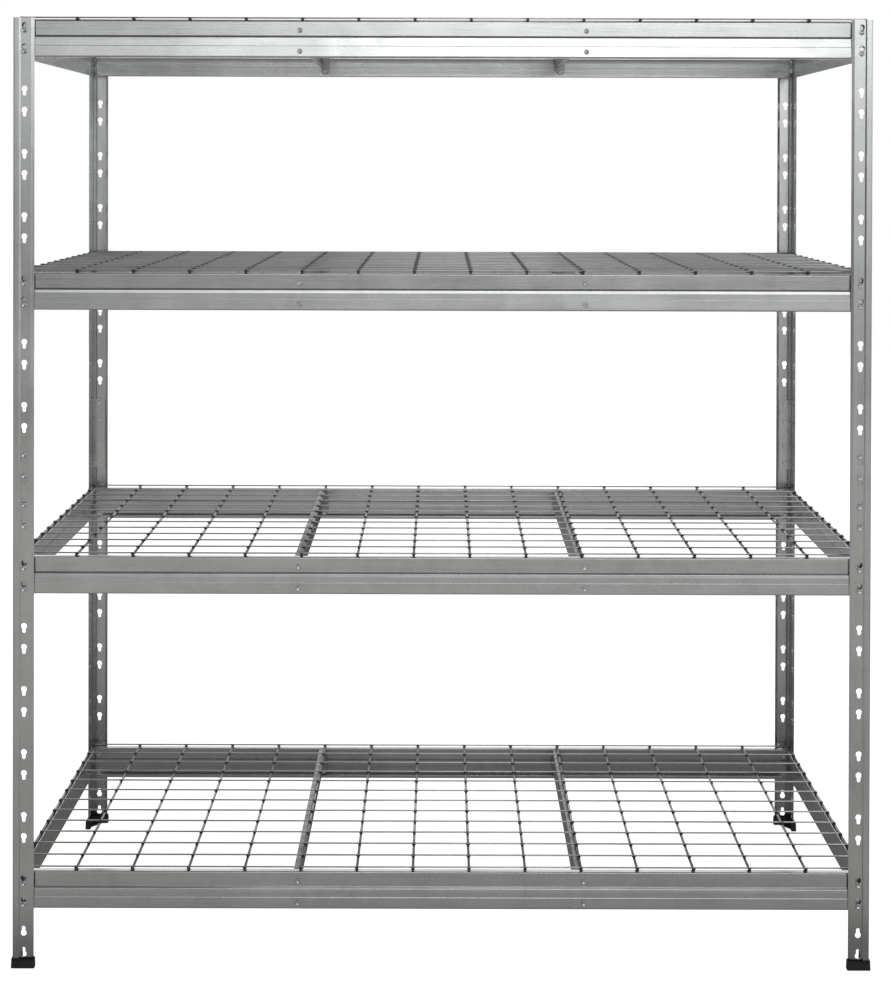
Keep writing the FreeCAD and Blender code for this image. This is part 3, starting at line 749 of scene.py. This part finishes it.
stud_sets = {}
for tier in tiers:
    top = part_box("beam_front_tier_%d" % tier)[1].z
    hooks = [(UPPER_HOOK, top - HOOK_DROPS[0]), (LOWER_HOOK, top - HOOK_DROPS[1])]
    rivets = [(UPPER_RIVET, top - RIVET_DROPS[0]), (LOWER_RIVET, top - RIVET_DROPS[1])]
    stud_sets["beam_studs_tier_%d" % tier] = corner_places(hooks)
    stud_sets["cross_bar_studs_tier_%d" % tier] = bar_places(rivets)
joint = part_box("post_lower_front_left")[1].z
joiner_rows = [(JOINER, joint + height) for height in JOINER_HEIGHTS]
for quarter, corner in enumerate(CORNERS):
    both = corner_places(joiner_rows)
    each = len(both) // 4
    stud_sets["splice_studs_" + corner] = both[quarter * each:(quarter + 1) * each]

for stud_node, places in stud_sets.items():
    piece = make_object(stud_node.replace("studs", "rivets"), lambda bm: studs(bm, places), stud_plating)
    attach(piece, "frame")
    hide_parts(stud_node)
print(sum(len(places) for places in stud_sets.values()), "studs in", len(stud_sets), "groups")

# %% [markdown]
# ## Feet
# A foot is a moulded plastic shoe. It starts as a flat outline, is pulled up to its height, and gets a pocket
# for the post by insetting its top face and pushing it down. Bevels give the soft moulded edges. The finish is
# near black and slightly grained, with paler dust near the floor.

# %% Feet
FOOT_HIGH = 18.0 * MM
FOOT_FLOOR = 5.0 * MM
FOOT_PROUD = 1.9 * MM
FOOT_END = 41.6 * MM
FOOT_THICK = 8.6 * MM
FOOT_WALL = 1.5 * MM
FOOT_GUSSET = 30.0 * MM       # where the slanted floor between the legs ends
FLARE = 0.5 * MM              # the walls spread outwards towards the floor
FOOT_ROUND = 1.6 * MM         # rounding of the upright edges
FOOT_RIM = 0.5 * MM           # rounding of the rims
PLASTIC_TONES = [(0.0, (0.006, 0.006, 0.007)), (0.35, (0.016, 0.016, 0.017)), (1.0, (0.10, 0.095, 0.09))]


def foot_plastic():
    material, tree, place, surface = new_material("black_foot_plastic")
    surface.inputs["Specular IOR Level"].default_value = 0.35
    speckle = noise(tree, place, 700.0, 3, -700, 100)
    scuff = noise(tree, place, 60.0, 4, -700, -150, distortion=0.5)
    parts = node(tree, "ShaderNodeSeparateXYZ", -900, -400)
    link(tree, place, parts.inputs[0])
    low = rescale(tree, parts.outputs["Z"], 0.0, 0.007, 0.5, 0, -700, -400)
    dusty = math_node(tree, "MULTIPLY", low, scuff, -450, -300)
    worn = math_node(tree, "MULTIPLY_ADD", speckle, 0.25, -250, 0)
    link(tree, dusty, worn.node.inputs[2])
    link(tree, colour_ramp(tree, worn, PLASTIC_TONES, 0, 50), surface.inputs["Base Color"])
    link(tree, rescale(tree, scuff, 0.35, 0.65, 0.45, 0.68, 0, -250), surface.inputs["Roughness"])
    add_bump(tree, surface, speckle, 0.3, 0.0003)
    return material


def pulled_up(bm, outline, height):
    """Raise a flat outline of (x, y) corners to a height and return the new top vertices."""
    base = bm.faces.new([bm.verts.new((x, y, 0)) for x, y in outline])
    pulled = bmesh.ops.extrude_face_region(bm, geom=[base], use_keep_orig=True)
    top_verts = [item for item in pulled["geom"] if isinstance(item, bmesh.types.BMVert)]
    bmesh.ops.translate(bm, verts=top_verts, vec=(0, 0, height))
    return top_verts


def foot_shape(bm):
    """Shoe at the front left corner, with the corner of the post at the origin."""
    low, end, thick = -FOOT_PROUD, FOOT_END, FOOT_THICK
    pulled_up(bm, [(low, low), (end, low), (end, thick), (thick, thick), (thick, end), (low, end)], FOOT_HIGH)
    bmesh.ops.recalc_face_normals(bm, faces=bm.faces)
    for vert in bm.verts:
        if vert.co.z < FOOT_HIGH / 2:
            vert.co.x += FLARE if vert.co.x > thick else -FLARE * (vert.co.x < 0)
            vert.co.y += FLARE if vert.co.y > thick else -FLARE * (vert.co.y < 0)
    upright = [edge for edge in bm.edges if abs(edge.verts[0].co.z - edge.verts[1].co.z) > FOOT_HIGH / 2]
    bmesh.ops.bevel(bm, geom=upright, offset=FOOT_ROUND, segments=3, profile=0.5, affect="EDGES", material=-1)
    top = max(bm.faces, key=lambda face: face.calc_center_median().z)
    bmesh.ops.inset_region(bm, faces=[top], thickness=FOOT_WALL, depth=0)
    sunk = bmesh.ops.extrude_discrete_faces(bm, faces=[top])["faces"][0]
    bmesh.ops.translate(bm, verts=sunk.verts, vec=(0, 0, FOOT_FLOOR - FOOT_HIGH))
    flats = [face for face in bm.faces if abs(face.normal.z) > 0.99 and len(face.verts) > 6]
    rims = {edge for face in flats for edge in face.edges if face is not sunk}
    bmesh.ops.bevel(bm, geom=list(rims), offset=FOOT_RIM, segments=2, profile=0.5, affect="EDGES",
                    material=-1)
    inner = thick - 0.8 * MM
    pulled_up(bm, [(inner, inner), (FOOT_GUSSET, inner), (inner, FOOT_GUSSET)], FOOT_FLOOR)
    bmesh.ops.recalc_face_normals(bm, faces=bm.faces)
    for face in bm.faces:
        face.smooth = abs(face.normal.z) < 0.99


def foot_at(bm, quarter):
    foot_shape(bm)
    bmesh.ops.transform(bm, matrix=corner_faces[2 * quarter], verts=bm.verts)


plastic = foot_plastic()
for quarter, corner in enumerate(CORNERS):
    shoe = make_object("shoe_" + corner, lambda bm: foot_at(bm, quarter), plastic)
    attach(shoe, "frame")
    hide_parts("foot_" + corner)
    print("shoe", corner, "has", len(shoe.data.polygons), "faces")

# %% [markdown]
# ## Finish
# The Standard view shows the tones as they were made, without a film curve.

# %% Finish
scene.view_settings.view_transform = "Standard"
